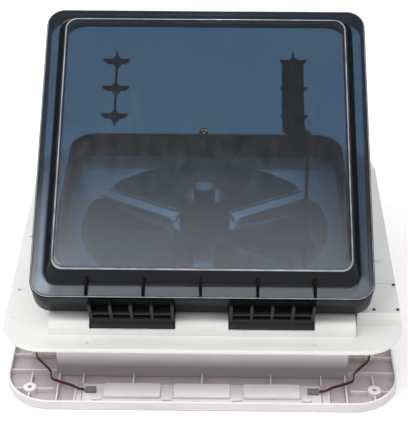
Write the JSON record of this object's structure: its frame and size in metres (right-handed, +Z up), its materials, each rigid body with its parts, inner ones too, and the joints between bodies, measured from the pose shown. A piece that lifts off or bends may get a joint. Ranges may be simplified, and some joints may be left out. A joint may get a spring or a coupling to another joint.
{
  "type": "roof vent cover",
  "caption": "Powered square roof vent: smoked hinged lid on a flanged curb, spoked fan deck with lid lift arm, and an interior trim with a light bar.",
  "frame": {"origin": "on the throat's vertical axis, in the plane of the interior trim's room face", "axes": "+Z up out of the roof, +Y from the lid's hinge towards its free edge, +X to the right as seen from the hinge side"},
  "size_m": [0.466, 0.469, 0.3631],
  "materials": {
    "white_plastic": "satin moulded UV-stable white plastic",
    "throat_plastic": "satin light grey plastic",
    "rubber_seal": "matt black closed-cell rubber",
    "steel": "zinc-plated steel",
    "motor_housing": "dark grey painted pressing",
    "fan_plastic": "dark grey moulded plastic",
    "insect_mesh": "woven dark mesh",
    "brass": "machined brass",
    "circuit_board": "green solder mask",
    "black_plastic": "satin black moulded plastic",
    "smoked_acrylic": "polished blue-grey smoked acrylic, see-through",
    "smoked_rib": "smoked acrylic, thick sections nearly opaque",
    "trim_plastic": "satin warm white plastic",
    "lens": "milky diffusing plastic",
    "connector_plastic": "matt grey nylon",
    "wire_red": "red insulated lead",
    "wire_black": "black insulated lead"
  },
  "bodies": {
    "base": {"roof_flange": "white_plastic", "fan_deck": "white_plastic", "fan_motor_cap": "white_plastic", "drive_cover": "white_plastic", "rain_sensor_cap": "white_plastic", "throat_tube": "throat_plastic", "curb_seal": "rubber_seal", "deck_screw_1": "steel", "deck_screw_2": "steel", "deck_screw_3": "steel", "deck_screw_4": "steel", "lift_motor": "steel", "drive_cover_screw_1": "steel", "drive_cover_screw_2": "steel", "drive_cover_screw_3": "steel", "drive_cover_screw_4": "steel", "hinge_pin_left": "steel", "hinge_pin_right": "steel", "fan_motor": "motor_housing", "insect_screen": "insect_mesh", "control_board": "circuit_board", "led_strip": "circuit_board", "button_board": "circuit_board", "trim_frame": "trim_plastic", "light_housing": "trim_plastic", "light_cover_1": "trim_plastic", "light_cover_2": "trim_plastic", "light_cover_3": "trim_plastic", "screen_frame": "trim_plastic", "control_panel": "trim_plastic", "light_bracket_left": "trim_plastic", "light_bracket_right": "trim_plastic", "light_lens": "lens", "lead_plug_left": "lens", "lead_plug_right": "lens", "light_connector_left": "connector_plastic", "light_connector_right": "connector_plastic", "lead_red_left": "wire_red", "lead_red_right": "wire_red", "lead_black_left": "wire_black", "lead_black_right": "wire_black"},
    "lid": {"lid_shell": "smoked_acrylic", "lid_plug": "smoked_rib", "lift_rail": "black_plastic", "lid_rib_left": "smoked_rib", "lid_rib_right": "smoked_rib", "hinge_block_left": "black_plastic", "hinge_block_right": "black_plastic"},
    "lift_arm": {"lift_arm": "black_plastic", "lift_shaft": "steel", "lift_gear": "brass"},
    "lift_shoe": {"lift_shoe": "black_plastic", "lift_rivet": "steel"},
    "lift_pinion": {"lift_pinion": "steel"},
    "fan": {"fan_shaft": "steel", "fan_rotor": "fan_plastic"},
    "button_lid": {"button_lid": "black_plastic"},
    "button_fan": {"button_fan": "black_plastic"},
    "button_light": {"button_light": "black_plastic"}
  },
  "joints": [
    {"name": "lid_hinge", "type": "hinge", "parent": "base", "child": "lid", "pos_m": [0, -0.194, 0.1035], "axis": [1, 0, 0], "range_deg": [-33.2, 0]},
    {"name": "arm_turn", "type": "hinge", "parent": "base", "child": "lift_arm", "pos_m": [0.1, -0.082, 0.097], "axis": [1, 0, 0], "range_deg": [-56.6, 0.1]},
    {"name": "shoe_turn", "type": "hinge", "parent": "lift_arm", "child": "lift_shoe", "pos_m": [0.1238, -0.03011, 0.25855], "axis": [1, 0, 0], "range_deg": [-0.1, 23.4]},
    {"name": "pinion_turn", "type": "hinge", "parent": "base", "child": "lift_pinion", "pos_m": [0.195, -0.09075, 0.097], "axis": [1, 0, 0], "range_deg": [-0.1, 100.5]},
    {"name": "fan_spin", "type": "hinge", "parent": "base", "child": "fan", "pos_m": [0, 0, 0.079], "axis": [0, 0, 1], "continuous": true},
    {"name": "button_lid_press", "type": "slide", "parent": "base", "child": "button_lid", "axis": [0, 0, 1], "range_m": [0, 0.0008], "stiffness_N_per_m": 300},
    {"name": "button_fan_press", "type": "slide", "parent": "base", "child": "button_fan", "axis": [0, 0, 1], "range_m": [0, 0.0008], "stiffness_N_per_m": 300},
    {"name": "button_light_press", "type": "slide", "parent": "base", "child": "button_light", "axis": [0, 0, 1], "range_m": [0, 0.0008], "stiffness_N_per_m": 300}
  ],
  "couplings": [
    {"joint": "arm_turn", "follows": "lid_hinge", "ratio": 1.7},
    {"joint": "shoe_turn", "follows": "lid_hinge", "ratio": -0.7},
    {"joint": "pinion_turn", "follows": "lid_hinge", "ratio": -3.0222}
  ]
}
